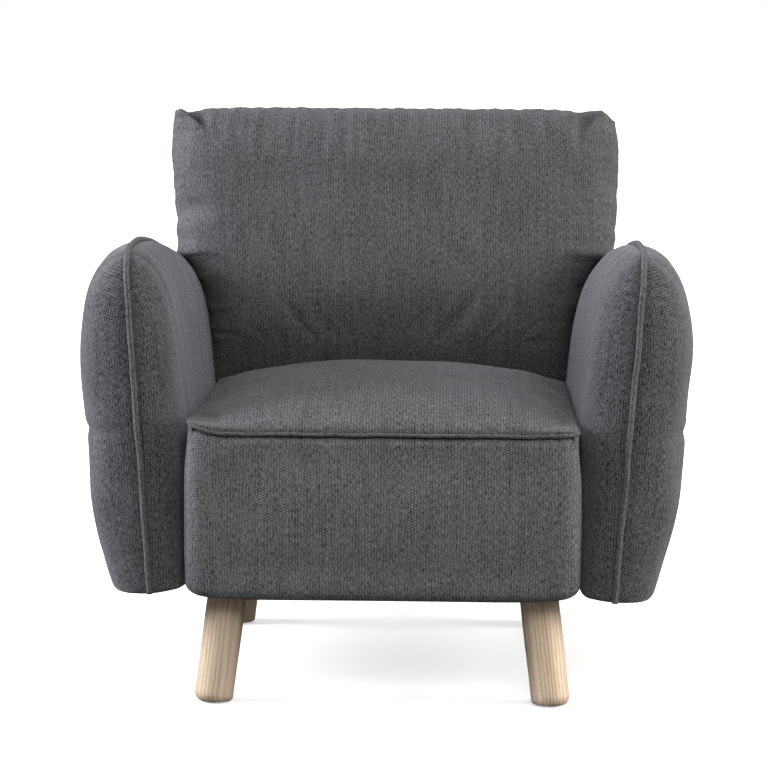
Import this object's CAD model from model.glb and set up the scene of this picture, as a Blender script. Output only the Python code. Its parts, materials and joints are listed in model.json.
"""Looks of the upholstered armchair: woven charcoal covers over soft forms, and pale turned legs.

Everything is in metres in the frame's own axes: +Z up, the front of the chair faces -Y, and the
origin is on the floor under the middle of the chair.
"""
import json
import math

import bpy
import numpy as np
from mathutils import Matrix, Vector


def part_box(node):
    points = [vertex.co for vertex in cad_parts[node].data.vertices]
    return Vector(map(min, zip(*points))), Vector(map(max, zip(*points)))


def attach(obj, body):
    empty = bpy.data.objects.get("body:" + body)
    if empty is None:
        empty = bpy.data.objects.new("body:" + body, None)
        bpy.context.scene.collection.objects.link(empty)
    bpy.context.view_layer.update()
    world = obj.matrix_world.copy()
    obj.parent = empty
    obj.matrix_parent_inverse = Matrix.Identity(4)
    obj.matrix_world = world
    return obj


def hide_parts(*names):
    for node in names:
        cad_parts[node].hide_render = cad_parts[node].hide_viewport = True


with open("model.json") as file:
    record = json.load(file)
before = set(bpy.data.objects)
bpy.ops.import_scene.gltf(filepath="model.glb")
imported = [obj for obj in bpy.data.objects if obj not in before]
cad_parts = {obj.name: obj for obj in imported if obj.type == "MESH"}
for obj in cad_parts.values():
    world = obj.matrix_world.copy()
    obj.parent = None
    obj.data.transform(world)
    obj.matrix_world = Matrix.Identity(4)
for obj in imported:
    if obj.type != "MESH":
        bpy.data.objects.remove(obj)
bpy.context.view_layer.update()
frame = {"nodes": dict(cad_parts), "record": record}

# ---- driving dimensions, read from the frame where it has them ----
SEAT_LO, SEAT_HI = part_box("seat_top_cover")
BORDER_LO, BORDER_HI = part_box("seat_front_cover")
SEAT_HALF = SEAT_HI[0]
SEAT_FRONT = SEAT_LO[1]
SEAT_LAP = 0.166  # where the dome ends, under the back
SEAT_CREST_Y = -0.140
SEAT_FALL = 0.63  # share of the dome's height lost from its crest to the lap
SEAT_EDGE = 0.402  # height of the dome's rim
SEAT_CROWN = SEAT_HI[2] - SEAT_EDGE
PIPE_Z = (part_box("seat_piping")[0][2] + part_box("seat_piping")[1][2]) / 2
SEAT_PIPE = 0.0028
CORNER = 0.026  # plan radius of the seat's two front corners
SEAM_RISE = {"left": 0.0135, "right": 0.0025}  # how far the front seam turns up at its corners
BORDER_FLARE = 0.0045  # how much wider the border is at its foot
BORDER_BELLY = 0.0075
BORDER_ROLL = 0.018  # radius of the border's lower edge

# An arm has its own axes: x outwards from its middle plane, y to the rear and z up the leaning arm.
ARM_X = 0.330
ARM_Z = 0.155
ARM_LEAN = math.radians(4.5)
ARM_FOOT = 0.057  # half thickness at the foot
ARM_OUT = 0.088  # fullest half thickness outside
ARM_IN = 0.0715  # fullest half thickness inside
ARM_HEIGHT = 0.496
ARM_DOME = 0.160  # height of the rounded top
ARM_PIPE = 0.0045
ARM_FOOT_ROUND = 0.010
ARM_MIDDLE = (-0.05, 0.25)  # the point that the seam's groove is pulled towards
ARM_DART = 0.240  # height of the dart across the outside cover
# The arms differ a little in how high the foot starts and how much slimmer each panel is.
# The keys are the arm, -1 left and 1 right, and then the panel, -1 inside and 1 outside.
ARM_LIFT = {-1: 0.006, 1: 0.0}
ARM_TRIM = {-1: {-1: 0.0085, 1: 0.0025}, 1: {-1: 0.0015, 1: 0.0010}}

# The back has its own axes too: y to the rear and z up the leaning back.
BACK_Y = 0.251
BACK_Z = 0.168
BACK_LEAN = math.radians(12)
BACK_TOP = 0.663
BACK_BOTTOM = 0.223
BACK_SEAM = -0.098  # where the seam between its front and its rear runs
BACK_FRONT = -0.183
BACK_REAR = 0.034
BACK_HALF = 0.35  # about half its width, which turns a share of it into metres
BACK_RISE = BACK_TOP - BACK_BOTTOM
BACK_FREE = 0.425  # above this height the back stands free of the arms
# Half widths of the free part from the arms' tops to the ears.
BACK_STATIONS = [0.415, 0.436, 0.462, 0.480, 0.510, 0.592, 0.631, 0.657]
BACK_LEFT = [0.352, 0.350, 0.352, 0.3495, 0.355, 0.3625, 0.362, 0.3595]
BACK_RIGHT = [0.356, 0.355, 0.358, 0.3565, 0.358, 0.3630, 0.362, 0.3575]
# Dents beside the seams: place, size and depth, with the heights taken from the top seam down.
BACK_DENTS = [
    ((-0.345, -0.058), (0.016, 0.010), 0.005),
    ((-0.330, -0.180), (0.022, 0.014), 0.006),
    ((0.313, -0.020), (0.019, 0.019), 0.013),
    ((0.345, -0.075), (0.016, 0.010), 0.004),
]

CLOTH_FRAMES = 20

LEG_R = 0.028
LEG_SUNK = 0.003  # how far the foot's axis starts below the floor, before the foot is cut level
GLIDE_TOP = 0.0021
LEG_LENGTH = 0.172
LEG_ROUNDING = 0.015
# No two legs are cut from the same board.
LEG_TONE = {"front_left": 0.84, "front_right": 1.06, "rear_left": 0.70, "rear_right": 0.74}
LEG_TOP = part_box("leg_front_left")[1][2]
FRONT_LEG = {"top": (0.223, -0.327), "foot": (0.243, -0.360)}
REAR_LEG = {"top": (0.228, 0.172), "foot": (0.250, 0.200)}


# ---- camera, light and floor ----
def add_camera():
    """A long lens a little to the right of the chair and a little above its top."""
    yaw, pitch, roll = math.radians(1.4), math.radians(7.12), math.radians(0.35)
    distance, height, aside = 4.41, 0.968, -0.0085
    place = Vector((
        math.sin(yaw) * distance + aside * math.cos(yaw),
        -math.cos(yaw) * distance + aside * math.sin(yaw),
        height,
    ))
    ahead = Vector((-math.sin(yaw) * math.cos(pitch), math.cos(yaw) * math.cos(pitch), -math.sin(pitch)))
    right = ahead.cross(Vector((0, 0, 1))).normalized()
    up = right.cross(ahead)
    turned_right = right * math.cos(roll) + up * math.sin(roll)
    turned_up = up * math.cos(roll) - right * math.sin(roll)
    data = bpy.data.cameras.new("camera")
    data.sensor_width = 36.0
    data.lens = 134.9
    camera = bpy.data.objects.new("camera", data)
    turn = Matrix((turned_right, turned_up, -ahead)).transposed()
    camera.matrix_world = Matrix.Translation(place) @ turn.to_4x4()
    bpy.context.scene.collection.objects.link(camera)
    bpy.context.scene.camera = camera


def add_light(name, place, target, size, energy, color):
    """A round soft box at a place, turned to its target."""
    data = bpy.data.lights.new(name, "AREA")
    data.shape = "DISK"
    data.size = size
    data.energy = energy
    data.color = color
    light = bpy.data.objects.new(name, data)
    light.location = place
    light.rotation_mode = "QUATERNION"
    aim = Vector(target) - Vector(place)
    light.rotation_quaternion = aim.to_track_quat("-Z", "Y")
    bpy.context.scene.collection.objects.link(light)


def studio_sky():
    """Plain white to look at; as light it is bright overhead and dim near the horizon."""
    world = bpy.data.worlds.new("studio")
    world.use_nodes = True
    tree = world.node_tree
    backdrop = tree.nodes["Background"]
    backdrop.inputs["Color"].default_value = (1.0, 1.0, 1.0, 1.0)
    direction = tree.nodes.new("ShaderNodeSeparateXYZ")
    tree.links.new(tree.nodes.new("ShaderNodeTexCoord").outputs["Generated"], direction.inputs[0])
    horizon, overhead = 0.06, 1.02
    fade = tree.nodes.new("ShaderNodeMapRange")
    for socket, value in zip(("From Max", "To Min", "To Max"), (0.9, horizon, overhead)):
        fade.inputs[socket].default_value = value
    tree.links.new(direction.outputs["Z"], fade.inputs["Value"])
    light = tree.nodes.new("ShaderNodeBackground")
    tree.links.new(fade.outputs[0], light.inputs["Strength"])
    choose = tree.nodes.new("ShaderNodeMixShader")
    seen = tree.nodes.new("ShaderNodeLightPath").outputs["Is Camera Ray"]
    tree.links.new(seen, choose.inputs[0])
    tree.links.new(light.outputs[0], choose.inputs[1])
    tree.links.new(backdrop.outputs[0], choose.inputs[2])
    tree.links.new(choose.outputs[0], tree.nodes["World Output"].inputs["Surface"])
    return world


def add_studio():
    """Four soft boxes, the sky, and a pale floor that melts into the backdrop."""
    scene = bpy.context.scene
    scene.view_settings.view_transform = "Standard"
    scene.world = studio_sky()
    add_light("left_box", (-3.2, -0.2, 1.5), (0.0, 0.0, 0.45), 1.8, 180, (0.92, 0.955, 1.0))
    add_light("right_box", (3.2, -0.3, 1.1), (0.0, 0.0, 0.45), 1.8, 96, (1.0, 0.985, 0.96))
    add_light("front_box", (0.5, -3.0, 2.3), (0.0, 0.0, 0.35), 1.6, 40, (1.0, 1.0, 1.0))
    add_light("rear_box", (0.6, 4.0, 2.0), (0.0, 0.0, 0.4), 2.4, 36, (1.0, 1.0, 1.0))

    just_below_the_glides = -0.0005
    bpy.ops.mesh.primitive_plane_add(size=60, location=(0, 0, just_below_the_glides))
    floor = bpy.context.object
    floor.name = "floor"
    n = Nodes("pale_floor")
    place = n.make("ShaderNodeTexCoord", output=3)
    away = n.make("ShaderNodeVectorMath", 1, {"operation": "LENGTH"}, i0=place)
    melt = n.range(away, 0.7, 2.4)
    seen = n.tree.nodes.new("ShaderNodeLightPath").outputs["Is Camera Ray"]
    n.wire(n.ramp(seen, [(0.0, (0.14, 0.14, 0.14)), (1.0, (0.95, 0.95, 0.95))]), "Base Color")
    n.fixed("Emission Color", (1.0, 1.0, 1.0, 1.0))
    glow = n.math("MULTIPLY_ADD", melt, 0.5, 0.5)
    n.wire(n.math("MULTIPLY", glow, seen), "Emission Strength")
    n.fixed("Roughness", 1.0)
    n.fixed("Specular IOR Level", 0.0)
    floor.data.materials.append(n.material)


# ---- material building blocks ----
class Nodes:
    """A short way to write shader nodes: each call makes one node and returns its output."""

    def __init__(self, name):
        self.material = bpy.data.materials.new(name)
        self.material.use_nodes = True
        self.tree = self.material.node_tree
        self.shader = self.tree.nodes["Principled BSDF"]

    def make(self, kind, output=0, settings=None, **inputs):
        node = self.tree.nodes.new(kind)
        for key, value in (settings or {}).items():
            setattr(node, key, value)
        for key, value in inputs.items():
            socket = node.inputs[int(key[1:])] if key[1:].isdigit() else node.inputs[key.replace("_", " ")]
            if isinstance(value, bpy.types.NodeSocket):
                self.tree.links.new(value, socket)
            else:
                socket.default_value = value
        return node.outputs[output]

    def math(self, operation, a, b=0.0, c=0.0):
        return self.make("ShaderNodeMath", settings={"operation": operation}, i0=a, i1=b, i2=c)

    def vary(self, noise, amount, base):
        """The base value, moved up and down by half the amount as the noise goes from 0 to 1."""
        return self.math("MULTIPLY_ADD", self.math("SUBTRACT", noise, 0.5), amount, base)

    def uv(self, name):
        return self.make("ShaderNodeUVMap", settings={"uv_map": name})

    def noise(self, vector, scale, detail=2.0, rough=0.5):
        return self.make("ShaderNodeTexNoise", Vector=vector, Scale=scale, Detail=detail, Roughness=rough)

    def ramp(self, value, stops):
        node = self.tree.nodes.new("ShaderNodeValToRGB")
        self.tree.links.new(value, node.inputs[0])
        elements = node.color_ramp.elements
        while len(elements) < len(stops):
            elements.new(0.5)
        for element, (position, color) in zip(elements, stops):
            element.position = position
            element.color = (*color, 1)
        return node.outputs[0]

    def range(self, value, low, high, new_low=0.0, new_high=1.0):
        return self.make("ShaderNodeMapRange", i0=value, i1=low, i2=high, i3=new_low, i4=new_high)

    def bump(self, height, strength, distance):
        return self.make("ShaderNodeBump", Height=height, Strength=strength, Distance=distance)

    def wire(self, value, socket):
        self.tree.links.new(value, self.shader.inputs[socket])

    def fixed(self, socket, value):
        self.shader.inputs[socket].default_value = value


def woven_fabric(name, dark, light, column=0.0043, stitch=0.0037, sheen=0.18, contrast=1.0):
    """Chunky weave: upright columns of short light floats, offset from column to column.

    Column and stitch are the sizes of a float in metres. Contrast narrows the step from dark to light.
    """
    n = Nodes(name)
    uv = n.uv("weave")
    split = n.tree.nodes.new("ShaderNodeSeparateXYZ")
    n.tree.links.new(uv, split.inputs[0])
    across = n.math("DIVIDE", n.vary(n.noise(uv, 60, 2), 0.0026, split.outputs[0]), column)
    along = n.math("DIVIDE", n.vary(n.noise(uv, 80, 2), 0.0022, split.outputs[1]), stitch)
    turn = 2 * math.pi
    cos_u = n.math("COSINE", n.math("MULTIPLY", across, turn / 2))
    cos_v = n.math("COSINE", n.math("MULTIPLY", along, turn))
    cells = n.math("MULTIPLY", cos_u, cos_v)
    ribs = n.math("COSINE", n.math("MULTIPLY", across, turn))
    patch = n.range(n.noise(uv, 60, 3), 0.30, 0.60, 0.60, 1.0)
    uneven = n.range(n.noise(uv, 200, 1), 0.3, 0.7, 0.65, 1.2)
    sunk = n.math("MULTIPLY", cells, n.math("MULTIPLY", patch, uneven))
    middle = 0.475
    weave = n.math("MULTIPLY_ADD", sunk, -0.30, 0.47)
    weave = n.math("MULTIPLY_ADD", n.math("MULTIPLY", ribs, patch), 0.10, weave)
    yarn_place = n.make("ShaderNodeMapping", Vector=uv, Scale=(1.0, 0.30, 1.0))
    band_place = n.make("ShaderNodeMapping", Vector=uv, Scale=(1.0, 0.10, 1.0))
    yarn = n.noise(yarn_place, 480, 3, 0.7)
    fibre = n.noise(uv, 1400, 2, 0.7)
    bands = n.noise(band_place, 110, 3, 0.6)
    slub = n.noise(uv, 170, 3, 0.65)
    mottle = n.noise(uv, 13, 4, 0.6)
    height = n.vary(fibre, 0.3, n.vary(yarn, 1.7, weave))
    tone = n.vary(slub, 0.50, n.vary(bands, 0.40, n.vary(mottle, 0.25, height)))
    reach = middle / contrast
    n.wire(n.ramp(tone, [(middle - reach, dark), (middle + reach, light)]), "Base Color")
    n.wire(n.range(height, 0.0, 1.0, 0.98, 0.86), "Roughness")
    n.wire(n.bump(height, 0.8, 0.0010), "Normal")
    n.fixed("Specular IOR Level", 0.15)
    n.fixed("Sheen Weight", sheen)
    n.fixed("Sheen Roughness", 0.35)
    n.fixed("Sheen Tint", (0.52, 0.53, 0.57, 1.0))
    return n.material


def pale_timber(name, axis_turn, depth=1.0):
    """Lacquered pale ash: fine long grain along the leg, open pores and a slow drift of tone.

    The axis turn stands the leg's own axis upright, and the depth scales the colours.
    """
    n = Nodes(name)
    place = n.make("ShaderNodeTexCoord", output=3)
    local = n.make("ShaderNodeMapping", Vector=place, Rotation=axis_turn)
    stretched = n.make("ShaderNodeMapping", Vector=local, Scale=(1.0, 1.0, 0.045))
    bend = n.noise(stretched, 22, 3, 0.5)
    split = n.tree.nodes.new("ShaderNodeSeparateXYZ")
    n.tree.links.new(stretched, split.inputs[0])
    rings = n.math("MULTIPLY_ADD", split.outputs[0], 1150, n.math("MULTIPLY", bend, 26))
    growth = n.math("MULTIPLY_ADD", n.math("SINE", rings), 0.5, 0.5)
    pores = n.noise(stretched, 1100, 3, 0.8)
    streak = n.noise(stretched, 330, 4, 0.75)
    drift = n.noise(stretched, 40, 2)
    tone = n.math("MULTIPLY_ADD", growth, 0.22, n.math("MULTIPLY", streak, 0.62))
    tone = n.vary(drift, 0.35, n.vary(pores, 0.55, tone))
    colors = [(0.15, (0.44, 0.28, 0.165)), (0.38, (0.72, 0.54, 0.38)), (0.70, (0.87, 0.73, 0.57))]
    toned = [(stop, tuple(depth * channel for channel in color)) for stop, color in colors]
    n.wire(n.ramp(tone, toned), "Base Color")
    n.wire(n.range(pores, 0.3, 0.7, 0.62, 0.48), "Roughness")
    n.wire(n.bump(tone, 0.2, 0.0005), "Normal")
    n.fixed("Specular IOR Level", 0.35)
    return n.material


def rough_timber(name):
    """Sawn frame timber, hidden inside the covers."""
    n = Nodes(name)
    place = n.make("ShaderNodeTexCoord", output=3)
    stretched = n.make("ShaderNodeMapping", Vector=place, Scale=(0.15, 0.15, 1.0))
    grain = n.noise(stretched, 190, 4, 0.65)
    n.wire(n.ramp(grain, [(0.3, (0.42, 0.28, 0.15)), (0.7, (0.66, 0.50, 0.31))]), "Base Color")
    n.wire(n.bump(grain, 0.3, 0.0006), "Normal")
    n.fixed("Roughness", 0.8)
    return n.material


def brushed_steel(name):
    """Spring and bolt steel with fine scratches."""
    n = Nodes(name)
    place = n.make("ShaderNodeTexCoord", output=3)
    scratch = n.noise(n.make("ShaderNodeMapping", Vector=place, Scale=(1.0, 0.1, 1.0)), 700, 3)
    n.wire(n.range(scratch, 0.3, 0.7, 0.30, 0.48), "Roughness")
    n.wire(n.ramp(scratch, [(0.2, (0.42, 0.43, 0.45)), (0.8, (0.62, 0.63, 0.64))]), "Base Color")
    n.fixed("Metallic", 1.0)
    return n.material


def plain_cloth(name, dark, light, scale=700):
    """Felt, black lining, webbing and foam: a fine matted surface of one tone."""
    n = Nodes(name)
    place = n.make("ShaderNodeTexCoord", output=3)
    mat = n.noise(place, scale, 4, 0.7)
    n.wire(n.ramp(mat, [(0.25, dark), (0.75, light)]), "Base Color")
    n.wire(n.bump(mat, 0.5, 0.0008), "Normal")
    n.fixed("Roughness", 0.95)
    return n.material


# ---- meshes ----
def grid_quads(rows, columns, wrap=False):
    """The four corners of every cell of a grid of points, as indices."""
    index = np.arange(rows * columns).reshape(rows, columns)
    if wrap:
        index = np.concatenate([index, index[:, :1]], axis=1)
    corners = [index[:-1, :-1], index[:-1, 1:], index[1:, 1:], index[1:, :-1]]
    return np.stack(corners, axis=-1).reshape(-1, 4)


def sheet_mesh(name, points, uv, material, wrap=False):
    """A smooth sheet of quads through a grid of points, with its weave map in metres.

    A wrapped sheet closes to a tube, and its map has one column more than its points.
    """
    mesh = bpy.data.meshes.new(name)
    quads = grid_quads(*points.shape[:2], wrap)
    mesh.from_pydata(points.reshape(-1, 3).tolist(), [], quads.tolist())
    layer = mesh.uv_layers.new(name="weave")
    corners = uv.reshape(-1, 2)[grid_quads(*uv.shape[:2]).reshape(-1)]
    layer.data.foreach_set("uv", corners.astype(np.float32).reshape(-1))
    mesh.polygons.foreach_set("use_smooth", [True] * len(mesh.polygons))
    mesh.materials.append(material)
    mesh.update()
    piece = bpy.data.objects.new(name, mesh)
    bpy.context.scene.collection.objects.link(piece)
    return piece


def arc_uv(points):
    """Distances along a grid's two directions, from its middle column and its first row."""
    steps_u = np.linalg.norm(np.diff(points, axis=1), axis=2)
    steps_v = np.linalg.norm(np.diff(points, axis=0), axis=2)
    u = np.pad(np.cumsum(steps_u, axis=1), ((0, 0), (1, 0)))
    v = np.pad(np.cumsum(steps_v, axis=0), ((1, 0), (0, 0)))
    middle = points.shape[1] // 2
    return np.stack([u - u[:, middle:middle + 1], v], axis=-1)


def distance_along(line):
    """Distance from the start of a line of points to each of its points."""
    steps = np.linalg.norm(np.diff(line, axis=0), axis=1)
    return np.concatenate([[0], np.cumsum(steps)])


def even_stations(curve, count):
    """Parameter values that split a curve, given as a function of 0 to 1, into equal lengths."""
    t = np.linspace(0, 1, 4000)
    length = distance_along(curve(t))
    return np.interp(np.linspace(0, length[-1], count), length, t)


# ---- shapes of curves and waves ----
def smoothstep(value, low, high):
    """0 below low and 1 above high, with an easy passage between them."""
    t = np.clip((value - low) / (high - low), 0, 1)
    return t * t * (3 - 2 * t)


def bell(distance, width):
    """1 at no distance, falling to nothing beyond the width."""
    return np.exp(-(distance / width) ** 2)


def plateau(reach, power):
    """1 in the middle of a reach from -1 to 1 and 0 at its ends. A high power falls off late."""
    return np.clip(1 - np.abs(reach) ** power, 0, 1)


def round_off(distance, radius):
    """How far a rounded edge has drawn back at a distance from where its rounding starts."""
    t = np.clip(distance / radius, 0, 1)
    return radius * (1 - np.sqrt(1 - t * t))


def beside_seam(gap):
    """Weight of a pucker: none on the seam, most just beside it, fading further away."""
    return np.exp(-gap) * np.clip(gap * 3, 0, 1)


def ripple(x, seed, scale):
    """Smooth repeatable 1-D waves, about -1 to 1."""
    rng = np.random.RandomState(seed)
    total = np.zeros_like(x)
    for octave in range(4):
        phase, drift = rng.uniform(0, 2 * math.pi), rng.uniform(0.8, 1.25)
        total += np.sin(x / scale * 2 * math.pi * drift * 1.7 ** octave + phase) / 1.5 ** octave
    return total / 2.4


def swell_field(u, v, seed, scale):
    """Smooth repeatable 2-D waves, about -1 to 1."""
    rng = np.random.RandomState(seed)
    total = np.zeros_like(u)
    for _ in range(9):
        angle, phase = rng.uniform(0, 2 * math.pi, 2)
        length = scale * rng.uniform(0.7, 1.6)
        total += np.sin((u * math.cos(angle) + v * math.sin(angle)) / length * 2 * math.pi + phase)
    return total / 4.5


def grid_normals(points):
    """Unit normals of a grid of points."""
    along_u = np.gradient(points, axis=1)
    along_v = np.gradient(points, axis=0)
    normal = np.cross(along_u, along_v)
    return normal / np.maximum(np.linalg.norm(normal, axis=2, keepdims=True), 1e-12)


def soften(piece):
    """Smooths a piece by one level of subdivision."""
    modifier = piece.modifiers.new("smooth", "SUBSURF")
    modifier.levels = 1
    modifier.render_levels = 1
    return piece


def blurred(field):
    """A grid of values with everything but its broad swell averaged away."""
    for _ in range(60):
        padded = np.pad(field, 1, mode="edge")
        field = (padded[:-2, 1:-1] + padded[2:, 1:-1] + padded[1:-1, :-2] + padded[1:-1, 2:]) / 4
    return field


def billow(piece, grid, held, slack, cap, keep_clear=None):
    """Swells and creases a cover by cloth simulation, held at its seams.

    The cloth is cut a little larger than its shape by the slack, and no point moves past the cap.
    Most of the broad swell is then taken back, so that the cover keeps its size and its creases.
    A rule to keep clear of the neighbours may push points back.
    """
    scene = bpy.context.scene
    mesh = piece.data
    group = piece.vertex_groups.new(name="held")
    group.add([int(i) for i in held], 1.0, "REPLACE")
    modifier = piece.modifiers.new("cloth", "CLOTH")
    cloth = modifier.settings
    cloth.quality = 5
    cloth.mass = 0.25
    cloth.tension_stiffness = 20
    cloth.compression_stiffness = 20
    cloth.shear_stiffness = 8
    cloth.bending_stiffness = 0.6
    cloth.vertex_group_mass = "held"
    cloth.shrink_min = -slack
    cloth.use_pressure = True
    cloth.uniform_pressure_force = 4.0
    cloth.effector_weights.gravity = 0
    modifier.point_cache.frame_start = 1
    modifier.point_cache.frame_end = CLOTH_FRAMES
    for step in range(1, CLOTH_FRAMES + 1):
        scene.frame_set(step)
    rest = np.empty(len(mesh.vertices) * 3)
    mesh.vertices.foreach_get("co", rest)
    moved = np.empty_like(rest)
    result = piece.evaluated_get(bpy.context.evaluated_depsgraph_get())
    result.data.vertices.foreach_get("co", moved)
    move = (moved - rest).reshape(-1, 3)
    length = np.linalg.norm(move, axis=1, keepdims=True)
    move *= cap * np.tanh(length / cap) / np.maximum(length, 1e-9)
    normal = np.empty_like(rest)
    mesh.vertex_normals.foreach_get("vector", normal)
    normal = normal.reshape(-1, 3)
    outward = np.sum(move * normal, axis=1).reshape(grid.shape[:2])
    taken_back = 0.85
    move -= normal * taken_back * blurred(outward).reshape(-1, 1)
    inside = np.ones(len(move))
    inside[held] = 0
    move *= smoothstep(blurred(inside.reshape(grid.shape[:2])), 0.5, 0.95).reshape(-1, 1)
    move[held] = 0
    piece.modifiers.remove(modifier)
    points = rest.reshape(-1, 3) + move
    if keep_clear is not None:
        points = keep_clear(points)
    mesh.vertices.foreach_set("co", points.reshape(-1))
    mesh.update()
    scene.frame_set(1)


def rim(grid, first, last, side):
    """Indices of the points in the outer rows and columns of a grid of points."""
    rows, columns = grid.shape[:2]
    index = np.arange(rows * columns).reshape(rows, columns)
    edges = [index[:first], index[rows - last:], index[:, :side], index[:, columns - side:]]
    return np.unique(np.concatenate([edge.reshape(-1) for edge in edges]))


def cord_tube(name, path, radius, material, wobble, seed):
    """A round cord along a path. The wobble is how uneven its radius is."""
    sides = 12
    length = distance_along(path)
    tangent = np.gradient(path, axis=0)
    tangent /= np.linalg.norm(tangent, axis=1, keepdims=True)
    rings = []
    side = np.cross(tangent[0], [0.3, 0.2, 0.9])
    for point, direction, at in zip(path, tangent, length):
        side = side - direction * np.dot(side, direction)
        side /= np.linalg.norm(side)
        other = np.cross(direction, side)
        angle = np.linspace(0, 2 * math.pi, sides, endpoint=False)
        size = radius * (1 + wobble * ripple(np.array([at]), seed, 0.03)[0])
        rings.append(point + size * (np.outer(np.cos(angle), side) + np.outer(np.sin(angle), other)))
    points = np.array(rings)
    u = np.linspace(0, 2 * math.pi * radius, sides + 1)
    uv = np.stack(np.meshgrid(u, length), axis=-1)
    return sheet_mesh(name, points, uv, material, wrap=True)


def settle(piece, body, slot, *nodes):
    """Gives a piece its body, its material slot and the CAD nodes that it stands for."""
    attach(piece, body)
    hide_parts(*nodes)


# ---- seat ----
def seat_height(across, along):
    """Height over the seat's edge: across and along run from -1 to 1 and 0 to 1 over its top."""
    squareness, fullness = 2.7, 0.78
    crest = (SEAT_CREST_Y - SEAT_FRONT) / (SEAT_LAP - SEAT_FRONT)
    rise = np.where(
        along < crest,
        np.sqrt(plateau((crest - along) / crest, 2)),
        1 - SEAT_FALL * ((along - crest) / (1 - crest)) ** 2,
    )
    return SEAT_CROWN * plateau(across, squareness) ** fullness * rise


def round_corner(x, y, half, front, radius):
    """Draws the two front corners of a rectangular grid in to a rounded plan."""
    px = (np.abs(x) - (half - radius)) / radius
    py = ((front + radius) - y) / radius
    inside = (px > 0) & (py > 0)
    px, py = np.clip(px, 0, None), np.clip(py, 0, None)
    scale = np.maximum(px, py) / np.maximum(np.hypot(px, py), 1e-9)
    x_new = np.sign(x) * ((half - radius) + px * scale * radius)
    y_new = (front + radius) - py * scale * radius
    return np.where(inside, x_new, x), np.where(inside, y_new, y)


def seat_edge_wave(x):
    """The front seam waves slightly, and turns up at its corners, the left one more."""
    length = 0.050
    corner = np.clip((np.abs(x) - (SEAT_HALF - length)) / length, 0, 1)
    rise = np.where(x < 0, SEAM_RISE["left"], SEAM_RISE["right"])
    return -0.0008 + rise * corner ** 1.6 + 0.0008 * ripple(x, 5, 0.16)


def add_seat_top(fabric):
    """The domed top, with a skirt that goes down past its front, sides and rear."""
    def across_curve(t):
        angle = (t - 0.5) * math.pi
        return np.stack([SEAT_HALF * np.sin(angle), SEAT_CROWN * np.cos(angle)], axis=1)

    def along_curve(t):
        return np.stack([t * (SEAT_LAP - SEAT_FRONT), seat_height(0 * t, t)], axis=1)

    angle = (even_stations(across_curve, 111) - 0.5) * math.pi
    across = np.sin(angle)
    along = even_stations(along_curve, 101)
    side_skirt = np.linspace(0.006, 0.06, 8)
    front_skirt = np.array([0.0055, 0.003])
    rear_skirt = np.linspace(0.008, 0.055, 5)
    a = np.concatenate([-np.ones(len(side_skirt)), across, np.ones(len(side_skirt))])
    b = np.concatenate([0 * front_skirt, along, np.ones(len(rear_skirt))])
    side_drop = np.concatenate([side_skirt[::-1], 0 * across, side_skirt])
    lead = np.concatenate([front_skirt, 0 * along, 0 * rear_skirt])
    tail = np.concatenate([0 * front_skirt, 0 * along, rear_skirt])
    grid_a, grid_b = np.meshgrid(a, b)
    x = grid_a * SEAT_HALF
    y = SEAT_FRONT + grid_b * (SEAT_LAP - SEAT_FRONT)
    rise = seat_height(grid_a, grid_b)
    x, y = round_corner(x, y, SEAT_HALF, SEAT_FRONT, CORNER)
    z = SEAT_EDGE + rise - side_drop[None, :] - lead[:, None] - tail[:, None]
    y = y + 0.2 * lead[:, None] + 0.35 * tail[:, None]
    from_front = np.clip(grid_b, 0, 1)
    from_side = (1 - np.abs(grid_a)) * SEAT_HALF
    near_side = np.exp(-from_side / 0.020 - from_front / 0.25)
    z = z + seat_edge_wave(x) * np.maximum(np.exp(-from_front / 0.06), near_side)
    points = np.stack([x, y, z], axis=-1)
    normal = grid_normals(points)
    uv = arc_uv(points)
    inner = plateau(grid_a, 2) * np.clip(grid_b * 6, 0, 1)
    gentle = 0.0022 * swell_field(x, y, 3, 0.17) * inner
    points = points + normal * gentle[..., None]
    piece = sheet_mesh("seat_top", points, uv, fabric)
    billow(piece, points, rim(points, 3, 6, 9), 0.03, 0.012)
    soften(piece)
    settle(piece, "root", "upholstery", "seat_top_cover", "seat_foam")
    return piece


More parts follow.
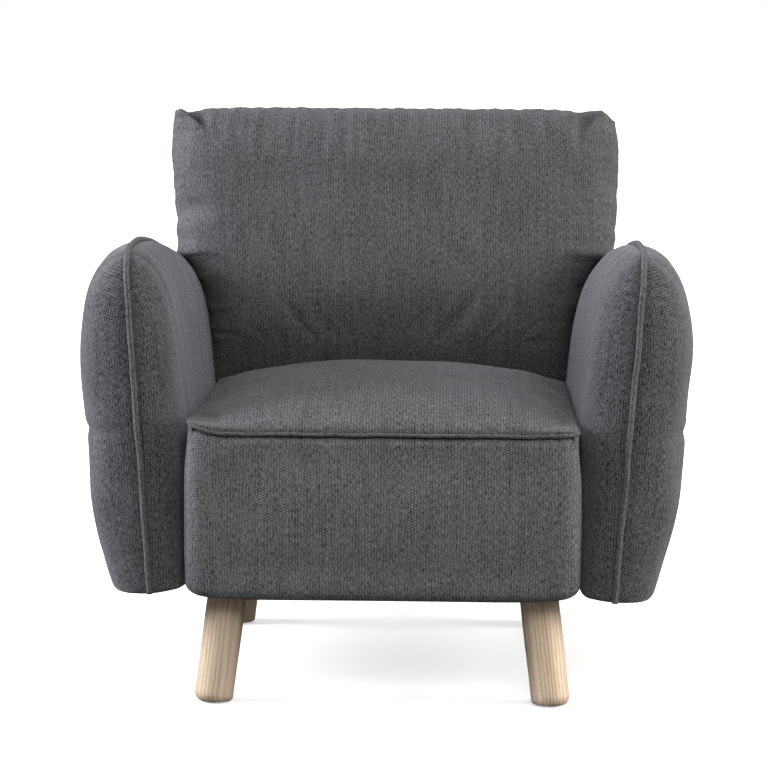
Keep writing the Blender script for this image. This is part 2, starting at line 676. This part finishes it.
def add_seat_border(fabric):
    """The border under the cord, round both corners, which rolls under at its foot."""
    under_the_cord = 0.0032
    top, bottom = PIPE_Z - under_the_cord, BORDER_LO[2]
    back = BORDER_HI[1] + 0.05
    straight = SEAT_HALF - CORNER
    side = back - (SEAT_FRONT + CORNER)
    arc = CORNER * math.pi / 2
    total = 2 * (side + arc + straight)
    run = (np.linspace(0, 1, 131) - 0.5) * total
    sign, run = np.sign(run), np.abs(run)
    turned = np.clip((run - straight) / CORNER, 0, math.pi / 2)
    x = np.where(run < straight, run, straight + CORNER * np.sin(turned))
    y = SEAT_FRONT + CORNER * (1 - np.cos(turned)) + np.clip(run - straight - arc, 0, None)
    line = np.stack([sign * x, y], axis=1)
    centre = line * [1 - CORNER / SEAT_HALF, 0] + [0, SEAT_FRONT + CORNER]
    inward = centre - line
    inward /= np.maximum(np.linalg.norm(inward, axis=1, keepdims=True), 1e-9)
    low = bottom + BORDER_ROLL
    to_side = np.abs(line[:, 0]) / SEAT_HALF
    flat = plateau(to_side, 4)
    corner_drop = 0.007 * to_side ** 8
    grid = []
    for s in np.linspace(0, 1, 44):
        belly = BORDER_BELLY * np.sin(math.pi * min(1.0, s * 0.93 + 0.03)) ** 0.9
        wide = 1 + BORDER_FLARE / SEAT_HALF * smoothstep(s, 0.0, 0.35)
        z = top + (low - top) * s + seat_edge_wave(line[:, 0]) * (1 - s) + corner_drop * s
        drawn_in = 0.008 * math.exp(-s / 0.018)
        out = belly * (0.35 + 0.65 * flat) - drawn_in
        x = line[:, 0] * wide - inward[:, 0] * out * 0.4
        grid.append(np.stack([x, line[:, 1] - inward[:, 1] * out, z], axis=1))
    last = grid[-1]
    for angle in np.linspace(0, math.pi / 2, 8)[1:]:
        level = last[:, :2] + inward * (BORDER_ROLL * (1 - math.cos(angle)))
        grid.append(np.column_stack([level, last[:, 2] - BORDER_ROLL * math.sin(angle)]))
    tuck = [0, 0.03, 0.004]
    grid.append(grid[-1] + tuck)
    points = np.array(grid)
    uv = arc_uv(points)
    normal = grid_normals(points)
    depth = np.clip((points[..., 2] - bottom) / (top - bottom), 0, 1)
    gentle = 0.0014 * swell_field(points[..., 0], points[..., 2], 8, 0.14) * depth
    points = points - normal * gentle[..., None]
    piece = sheet_mesh("seat_front", points, uv, fabric)
    billow(piece, points, rim(points, 2, 8, 20), 0.03, 0.010)
    soften(piece)
    settle(piece, "root", "upholstery", "seat_front_cover", "seat_front_pad")
    return piece


def add_seat_piping(fabric):
    """The cord along the seat's front edge and a little way back along both sides."""
    half, front = SEAT_HALF - 0.0002, SEAT_FRONT + 0.0004
    path = []
    for y in np.linspace(front + 0.10, front + CORNER, 14)[:-1]:
        path.append((half, y))
    for angle in np.linspace(0, math.pi / 2, 12):
        path.append((half - CORNER + CORNER * math.cos(angle), front + CORNER - CORNER * math.sin(angle)))
    right = np.array(path)
    middle = np.linspace(half - CORNER, -(half - CORNER), 90)[1:-1]
    across = np.stack([middle, 0 * middle + front], axis=1)
    line = np.concatenate([right, across, (right * [-1, 1])[::-1]])
    z = PIPE_Z + seat_edge_wave(line[:, 0]) + 0.0005 * ripple(line[:, 0], 2, 0.05)
    y = line[:, 1] + 0.0007 * ripple(line[:, 0], 9, 0.07)
    path = np.stack([line[:, 0], y, z], axis=1)
    piece = soften(cord_tube("seat_piping_cord", path, SEAT_PIPE, fabric, wobble=0.06, seed=4))
    settle(piece, "root", "piping", "seat_piping")
    return piece


# ---- arms ----
def arm_crest(y):
    """Height of the top seam, which falls a little in front and more behind."""
    peak = -0.2
    ahead = ARM_HEIGHT - 0.005 * ((peak - y) / 0.13) ** 2
    behind = ARM_HEIGHT - 0.065 * (np.clip(y - peak, 0, None) / 0.5) ** 1.5
    return np.where(y < peak, ahead, behind)


def arm_front(share):
    """Depth of the front edge at a share of its height, rounded off at the top."""
    foot, slope, corner = -0.390, 0.058, 0.07
    z = share * ARM_HEIGHT
    return foot + slope * z + round_off(z - (ARM_HEIGHT - corner), corner)


def arm_rear(share):
    """Depth of the rear edge, which is lower than the front one."""
    foot, slope, corner = 0.300, 0.1, 0.09
    z = share * 0.440
    return foot + slope * z - round_off(z - 0.35, corner)


def arm_wall(z):
    """How far the inner face may swell before it meets the seat beside it."""
    flare = BORDER_FLARE * (1 - smoothstep(z, 0.16, 0.235))
    return (ARM_X + z * math.sin(ARM_LEAN) - SEAT_HALF - flare - 0.0008) / math.cos(ARM_LEAN)


def arm_half(z, crest, side, mirror):
    """How far an arm panel swells from the arm's middle plane at a height, below a crest."""
    belly_height = 0.170
    dome = np.clip((z - (crest - ARM_DOME)) / ARM_DOME, 0, 1)
    full, fullness = (ARM_OUT, 0.45) if side > 0 else (ARM_IN, 0.43)
    full = full - ARM_TRIM[mirror][side]
    belly = ARM_FOOT + (full - ARM_FOOT) * np.sin(math.pi / 2 * np.minimum(1, z / belly_height))
    half = belly * plateau(dome, 2) ** fullness
    return half if side > 0 else np.minimum(half, arm_wall(z))


def arm_inner_face(y, height, mirror):
    """Distance from the chair's middle to an arm's inner face, at a depth and a height."""
    half = 0.070
    for _ in range(6):
        z = (height - ARM_Z - half * math.sin(ARM_LEAN)) / math.cos(ARM_LEAN)
        half = arm_half(z, arm_crest(y), -1, mirror)
    return ARM_X - half * math.cos(ARM_LEAN) + z * math.sin(ARM_LEAN)


def arm_rear_face(y, height, mirror):
    """The same distance near the arm's rear end, where the face rounds away towards its seam."""
    share = (height - ARM_Z) / ARM_HEIGHT
    middle = (arm_front(share) + arm_rear(share)) / 2
    reach = np.clip((y - middle) / (arm_rear(share) - middle), 0, 1)
    seam = ARM_X + (height - ARM_Z) * math.tan(ARM_LEAN)
    return seam - (seam - arm_inner_face(y, height, mirror)) * np.sqrt(1 - reach ** 10)


def arm_surface(share, reach, side, mirror):
    """Points of an arm panel: share 0 to 1 from bottom to seam, reach -1 to 1 from front to rear."""
    round_low = round_off(ARM_FOOT_ROUND - share * ARM_HEIGHT, ARM_FOOT_ROUND)
    front = arm_front(share) + 0.5 * round_low
    rear = arm_rear(share) - 0.5 * round_low
    y = (front + rear) / 2 + (rear - front) / 2 * reach
    crest = arm_crest(y)
    z = ARM_LIFT[mirror] + share * (crest - ARM_LIFT[mirror])
    half = arm_half(z, crest, side, mirror) - round_low * (1.0 if side > 0 else 0.3)
    squareness = np.where(reach < 0, 12 + 5 * (1 - smoothstep(share, 0.04, 0.45)), 10)
    thick = half * np.sqrt(plateau(reach, squareness))
    return np.stack([side * thick, y, z], axis=-1)


def arm_to_world(points, mirror):
    """From an arm's own axes to the frame's."""
    x, y, z = np.moveaxis(points, -1, 0)
    world_x = ARM_X + x * math.cos(ARM_LEAN) + z * math.sin(ARM_LEAN)
    world_z = ARM_Z - x * math.sin(ARM_LEAN) + z * math.cos(ARM_LEAN)
    return np.stack([mirror * world_x, y, world_z], axis=-1)


def clear_of_seat(points):
    """Keeps points of an arm's inside cover out of the seat beside it."""
    beside = (points[:, 2] < SEAT_HI[2]) & (points[:, 1] < SEAT_LAP)
    flare = BORDER_FLARE * (1 - smoothstep(points[:, 2], 0.32, 0.39))
    wall = SEAT_HALF + flare + 0.0008
    least = np.where(beside, np.maximum(np.abs(points[:, 0]), wall), np.abs(points[:, 0]))
    points[:, 0] = np.sign(points[:, 0]) * least
    return points


def add_arm_panel(word, mirror, side, fabric):
    """One of an arm's two covers, which meet at the seam all round its edge."""
    def up_curve(t):
        return arm_surface(t, 0 * t, 1, mirror)

    def along_curve(t):
        reach = np.sin((t - 0.5) * math.pi)
        return arm_surface(0 * t + 0.4, reach, 1, mirror)

    share = even_stations(up_curve, 84)
    steps = even_stations(along_curve, 118)
    reach = np.sin((steps - 0.5) * math.pi)
    grid_reach, grid_share = np.meshgrid(reach, share)
    points = arm_surface(grid_share, grid_reach, side, mirror)
    uv = arc_uv(points)
    normal = grid_normals(points) * side
    y, z = points[..., 1], points[..., 2]
    crest = arm_crest(y)
    top_gap = (crest - z) / 0.05
    end_gap = (1 - np.abs(grid_reach)) * 0.35 / 0.03
    seed = 20 + (1 if side > 0 else 0) + (4 if mirror > 0 else 0)
    pucker = 0.0026 * ripple(y, seed, 0.055) * beside_seam(top_gap)
    tug = 0.0016 * ripple(z, seed + 7, 0.06) * beside_seam(end_gap)
    inner = plateau(grid_reach, 8) * np.clip((crest - z) / 0.06, 0, 1)
    gentle = 0.0022 * swell_field(y, z, seed, 0.15) * inner
    if side < 0:
        gentle += 0.0014 * ripple(y + 0.15 * z, seed + 17, 0.060) * inner
    if side > 0:
        dart = bell(z - ARM_DART, 0.0065) * smoothstep(np.abs(grid_reach), 0.0, 0.3)
        gentle -= 0.0045 * dart * plateau(grid_reach, 24)
    front_corner = 0.445
    gather = 0.0020 * ripple(z, seed + 11, 0.020) * bell(z - front_corner, 0.045)
    gather *= np.exp(-np.abs(points[..., 0]) / 0.022) * (grid_reach < 0)
    gather *= smoothstep(np.abs(points[..., 0]), 0.002, 0.010)
    points = points + normal * (pucker + tug + gentle + gather)[..., None]
    groove = 0.0026 * bell(points[..., 0], 0.007) * smoothstep(grid_share, 0.0, 0.04)
    aim_y, aim_z = ARM_MIDDLE[0] - points[..., 1], ARM_MIDDLE[1] - points[..., 2]
    reach_in = np.hypot(aim_y, aim_z)
    points[..., 1] += groove * aim_y / reach_in
    points[..., 2] += groove * aim_z / reach_in
    under = points[:1].copy()
    under[..., 0] = 0
    points = np.concatenate([under, points])
    uv = np.concatenate([uv[:1] - [0, ARM_FOOT], uv])
    world = arm_to_world(points, mirror)
    if side * mirror > 0:
        world, uv = world[:, ::-1], uv[:, ::-1]
    place = "outside" if side > 0 else "inside"
    piece = sheet_mesh(f"arm_{word}_{place}", world, uv, fabric)
    billow(piece, points, rim(points, 3, 1, 1), 0.04, 0.012, clear_of_seat if side < 0 else None)
    soften(piece)
    nodes = [f"arm_{word}_{place}_cover"]
    if side > 0:
        nodes.append(f"arm_{word}_pad")
    settle(piece, "root", "upholstery", *nodes)
    return piece


def arm_seam():
    """The seam's path round the edge of an arm, from the front foot over the top to the rear foot."""
    share = np.linspace(0.0, 1.0, 400)
    top_y = np.linspace(arm_front(1.0), arm_rear(1.0), 200)[1:-1]
    y = np.concatenate([arm_front(share), top_y, arm_rear(share[::-1])])
    height = np.concatenate([share, 0 * top_y + 1, share[::-1]])
    whole = np.stack([0 * y, y, height * arm_crest(y)], axis=1)
    length = distance_along(whole)
    even = np.linspace(0, length[-1], 260)
    return np.stack([np.interp(even, length, whole[:, i]) for i in range(3)], axis=1), even


def add_arm_piping(word, mirror, fabric):
    """The cord that lies on an arm's seam."""
    path, length = arm_seam()
    path[:, 2] = np.maximum(path[:, 2], ARM_LIFT[mirror])
    seed = 31 if mirror > 0 else 37
    path[:, 0] += 0.0012 * ripple(length, seed, 0.22)
    tangent = np.gradient(path, axis=0)
    outward = np.stack([0 * length, -tangent[:, 2], tangent[:, 1]], axis=1)
    outward /= np.linalg.norm(outward, axis=1, keepdims=True)
    path = path + outward * (0.0018 + 0.0005 * ripple(length, seed + 1, 0.05))[:, None]
    world = arm_to_world(path, mirror)
    piece = soften(cord_tube(f"arm_{word}_cord", world, ARM_PIPE, fabric, wobble=0.05, seed=seed))
    settle(piece, "root", "piping", f"arm_{word}_piping")
    return piece


# ---- back ----
def back_half(z, right):
    """Half width of the back at its side seams: pressed between the arms low down, free above."""
    y = BACK_Y + BACK_SEAM * math.cos(BACK_LEAN) + z * math.sin(BACK_LEAN)
    height = BACK_Z - BACK_SEAM * math.sin(BACK_LEAN) + z * math.cos(BACK_LEAN)
    left_face, right_face = arm_inner_face(y, height, -1), arm_inner_face(y, height, 1)
    squeeze, unlimited = 0.002, 1.0
    pressed = np.where(z < BACK_FREE, np.where(right, right_face, left_face) + squeeze, unlimited)
    left_free, right_free = np.interp(z, BACK_STATIONS, BACK_LEFT), np.interp(z, BACK_STATIONS, BACK_RIGHT)
    return np.minimum(pressed, np.where(right, right_free, left_free))


def back_crest(x):
    """Height of the top seam: raised ears at both corners with a small dip beside each."""
    from_left = x + 0.337
    left_dip = 0.007 * bell(from_left, np.where(from_left < 0, 0.008, 0.030))
    right_dip = 0.005 * bell(x - 0.303, 0.015)
    chamfer = 0.85 * np.clip(x - 0.336, 0, None)
    wave = 0.0011 * ripple(x, 12, 0.09)
    left_round = 0.007 * np.clip((-0.343 - x) / 0.018, 0, 1) ** 2
    return BACK_TOP - 0.006 - left_dip - right_dip - left_round - chamfer + wave


def back_to_world(points):
    """From the back's own axes to the frame's."""
    x, y, z = np.moveaxis(points, -1, 0)
    world_y = BACK_Y + y * math.cos(BACK_LEAN) + z * math.sin(BACK_LEAN)
    world_z = BACK_Z - y * math.sin(BACK_LEAN) + z * math.cos(BACK_LEAN)
    return np.stack([x, world_y, world_z], axis=-1)


def back_surface(share, reach, front):
    """Points of a back panel: share 0 to 1 from its bottom to the top seam, reach -1 to 1 across."""
    flat_z = BACK_BOTTOM + share * BACK_RISE
    half = back_half(flat_z, reach > 0)
    x = half * reach
    z = BACK_BOTTOM + share * (back_crest(x) - BACK_BOTTOM)
    from_top = (1 - share) * BACK_RISE
    radius = 0.095 if front else 0.060
    squareness = 10
    dome = np.sqrt(plateau(np.clip(1 - from_top / radius, 0, 1), 2))
    low = round_off(BACK_BOTTOM + 0.152 - flat_z, 0.220)
    edge = np.sqrt(plateau(reach, squareness))
    if front:
        thick = (BACK_SEAM - BACK_FRONT - low) * dome * edge
        return np.stack([x, BACK_SEAM - thick, z], axis=-1)
    thick = (BACK_REAR - BACK_SEAM) * dome * np.sqrt(edge)
    return np.stack([x, BACK_SEAM + thick, z], axis=-1)


def fold(x, z, start, end, width, depth):
    """A crease from start to end: the cloth drops sharply on its upper side and recovers slowly."""
    start, end = np.array(start), np.array(end)
    along = (end - start) / np.linalg.norm(end - start)
    across = np.array([-along[1], along[0]])
    s = ((x - start[0]) * along[0] + (z - start[1]) * along[1]) / np.linalg.norm(end - start)
    d = (x - start[0]) * across[0] + (z - start[1]) * across[1]
    reach = smoothstep(s, -0.35, 0.15) * (1 - smoothstep(s, 0.75, 1.35))
    above = np.clip(d, 0, None)
    shape = np.where(d > 0, np.exp(-(above / width) ** 1.5), bell(d, 0.3 * width))
    lip = 0.35 * bell(d + 0.6 * width, 0.5 * width)
    return depth * reach * (lip - shape)


def dent(x, z, centre, size, depth):
    """A shallow oval hollow."""
    return -depth * np.exp(-((x - centre[0]) / size[0]) ** 2 - ((z - centre[1]) / size[1]) ** 2)


def back_wrinkles(x, z, reach, share, seed):
    """Tugs along the side and top seams of the back's front panel."""
    side_gap = (1 - np.abs(reach)) * BACK_HALF / 0.03
    top_gap = (1 - share) * BACK_RISE / 0.03
    level = np.where(x < 0, ripple(z, seed, 0.075), ripple(z, seed + 3, 0.06))
    tug = 0.0030 * level * beside_seam(side_gap)
    pleat = 0.0022 * ripple(x, seed + 5, 0.05) * beside_seam(top_gap)
    return tug + pleat


def back_grid(rows, columns, front):
    """The points of a back panel, with the reach and the share at each of them."""
    def up_curve(t):
        return back_surface(t, 0 * t, front)

    def across_curve(t):
        return back_surface(0 * t + 0.6, np.sin((t - 0.5) * math.pi), front)

    share = even_stations(up_curve, rows)
    reach = np.sin((even_stations(across_curve, columns) - 0.5) * math.pi)
    grid_reach, grid_share = np.meshgrid(reach, share)
    return back_surface(grid_share, grid_reach, front), grid_reach, grid_share


def add_back_front(fabric):
    """The pillow's front, with a fold at its left ear and a tuck behind the seat."""
    points, grid_reach, grid_share = back_grid(124, 172, True)
    uv = arc_uv(points)
    normal = grid_normals(points)
    x, z = points[..., 0], points[..., 2]
    inner = plateau(grid_reach, 10) * np.clip((1 - grid_share) * 8, 0, 1)
    lift = 0.0028 * swell_field(x, z, 6, 0.22) * inner
    lift += back_wrinkles(x, z, grid_reach, grid_share, 15)
    from_top = z - BACK_TOP
    lift += fold(x, from_top, (-0.350, -0.006), (-0.312, -0.034), 0.014, 0.020)
    for centre, size, depth in BACK_DENTS:
        lift += dent(x, from_top, centre, size, depth)
    lift *= smoothstep((1 - grid_share) * BACK_RISE, 0.0, 0.012)
    lift *= smoothstep((1 - np.abs(grid_reach)) * BACK_HALF, 0.0, 0.004)
    points = points + normal * lift[..., None]
    tuck_run, tuck_length = np.array([0, 0.0171, -0.0229]), 0.0286
    parts = np.linspace(1, 0.2, 5)
    tuck = [points[0] + tuck_run * part for part in parts]
    points = np.concatenate([tuck, points])
    uv = np.concatenate([uv[:1] - [[[0, tuck_length * part]] for part in parts], uv])
    world = back_to_world(points)
    piece = sheet_mesh("back_cushion", world, uv, fabric)
    billow(piece, points, rim(points, 18, 1, 1), 0.02, 0.012)
    soften(piece)
    settle(piece, "root", "upholstery", "back_cushion_cover", "back_cushion_filling")
    return piece


def add_back_rear(fabric):
    """The plain rear of the back, which goes on down between the arms to the foot of the frame."""
    points, grid_reach, _ = back_grid(70, 110, False)
    reach = grid_reach[0]
    behind_frame = 0.002
    rows = []
    bottom = points[0]
    for drop in np.linspace(BACK_BOTTOM + 0.008, 0.006, 34):
        row = bottom.copy()
        row[:, 2] = bottom[:, 2] - drop
        seam_y = BACK_SEAM + (behind_frame - BACK_SEAM) * smoothstep(drop, 0.0, 0.12)
        row[:, 1] = np.maximum(row[:, 1], seam_y)
        world = back_to_world(row)
        left_face = arm_rear_face(world[:, 1], world[:, 2], -1)
        right_face = arm_rear_face(world[:, 1], world[:, 2], 1)
        wide = reach * (np.where(reach > 0, right_face, left_face) + 0.001)
        row[:, 0] += (wide - row[:, 0]) * smoothstep(drop, 0.0, 0.13)
        rows.append(row)
    points = np.concatenate([rows, points])
    uv = arc_uv(points)
    normal = grid_normals(points)
    x, z = points[..., 0], points[..., 2]
    gentle = 0.0018 * swell_field(x, z, 14, 0.2) * plateau(x / 0.36, 6)
    points = points + normal * gentle[..., None]
    world = back_to_world(points)[:, ::-1]
    piece = sheet_mesh("back_outside", world, uv[:, ::-1], fabric)
    billow(piece, points, rim(points, 2, 1, 1), 0.03, 0.012)
    soften(piece)
    settle(piece, "root", "upholstery", "outside_back_cover")
    return piece


# ---- legs ----
def leg_profile():
    """Radius and length along the leg, from the middle of its foot to its top."""
    points = [(0.0, 0.0), (0.006, 0.0)]
    for angle in np.linspace(0, math.pi / 2, 9):
        radius = LEG_R - LEG_ROUNDING * (1 - math.sin(angle))
        points.append((radius, LEG_ROUNDING * (1 - math.cos(angle))))
    for height in np.linspace(0.02, LEG_LENGTH, 24):
        hand_turned = 1 - 0.01 * math.sin(height * 40)
        points.append((LEG_R * hand_turned, height))
    return np.array(points)


def add_leg(word, leg, side):
    """A round splayed leg, cut level just above its glide and again at the seat frame."""
    foot = Vector((side * leg["foot"][0], leg["foot"][1], 0.0))
    top = Vector((side * leg["top"][0], leg["top"][1], LEG_TOP))
    axis = (top - foot).normalized()
    turn = axis.to_track_quat("Z", "Y")
    profile = leg_profile()
    angle = np.linspace(0, 2 * math.pi, 40, endpoint=False)
    ring_x = np.outer(profile[:, 0], np.cos(angle))
    ring_y = np.outer(profile[:, 0], np.sin(angle))
    ring_z = np.repeat(profile[:, 1][:, None], len(angle), axis=1)
    local = np.stack([ring_x, ring_y, ring_z], axis=-1)
    spin = np.array(turn.to_matrix())
    world = local @ spin.T + np.array(foot - axis * LEG_SUNK)
    world[..., 2] = np.clip(world[..., 2], GLIDE_TOP, LEG_TOP)
    u = np.linspace(0, 2 * math.pi * LEG_R, len(angle) + 1)
    uv = np.stack(np.meshgrid(u, profile[:, 1]), axis=-1)
    lean = turn.inverted().to_euler()
    material = pale_timber(f"ash_{word}", tuple(lean), LEG_TONE[word])
    piece = sheet_mesh(f"leg_{word}_turned", world, uv, material, wrap=True)
    settle(piece, "root", "leg_wood", f"leg_{word}")


# ---- CAD nodes that stay ----
def dress_frame():
    """Materials for the CAD nodes that no cover replaces."""
    timber = rough_timber("frame_timber")
    steel = brushed_steel("spring_steel")
    felt = plain_cloth("felt", (0.05, 0.04, 0.032), (0.10, 0.085, 0.07))
    lining = plain_cloth("black_lining", (0.008, 0.008, 0.009), (0.02, 0.02, 0.022))
    jute = plain_cloth("webbing", (0.20, 0.15, 0.09), (0.36, 0.29, 0.19), 400)
    looks = {
        "frame_timber": timber,
        "steel": steel,
        "glide_felt": felt,
        "spring_felt": felt,
        "dust_cloth": lining,
        "webbing": jute,
    }
    slots = {part["node"]: part["material_slot"] for part in frame["record"]["subparts"]}
    for name, node in frame["nodes"].items():
        look = looks.get(slots[name])
        if look is not None:
            node.data.materials.clear()
            node.data.materials.append(look)


def build():
    """Makes the scene. The fabrics differ in tone, as the panels in the photo do."""
    add_camera()
    add_studio()
    cloth = woven_fabric("charcoal_weave", (0.006, 0.006, 0.007), (0.238, 0.238, 0.247))
    front_cloth = woven_fabric("charcoal_weave_front", (0.007, 0.007, 0.008), (0.272, 0.272, 0.282))
    back_cloth = woven_fabric("charcoal_weave_back", (0.005, 0.005, 0.006), (0.196, 0.196, 0.205))
    arm_cloth = woven_fabric(
        "charcoal_weave_arms", (0.004, 0.004, 0.005), (0.168, 0.168, 0.178), 0.0040, 0.0036, sheen=0.7,
        contrast=1.3
    )
    cord = woven_fabric("charcoal_cord", (0.008, 0.008, 0.009), (0.215, 0.215, 0.224), 0.0040, 0.0036)
    add_seat_top(cloth)
    add_seat_border(front_cloth)
    add_seat_piping(cord)
    for word, mirror in (("left", -1), ("right", 1)):
        add_arm_panel(word, mirror, 1, arm_cloth)
        add_arm_panel(word, mirror, -1, arm_cloth)
        add_arm_piping(word, mirror, cord)
        add_leg(f"front_{word}", FRONT_LEG, mirror)
        add_leg(f"rear_{word}", REAR_LEG, mirror)
    add_back_front(back_cloth)
    add_back_rear(back_cloth)
    dress_frame()


build()
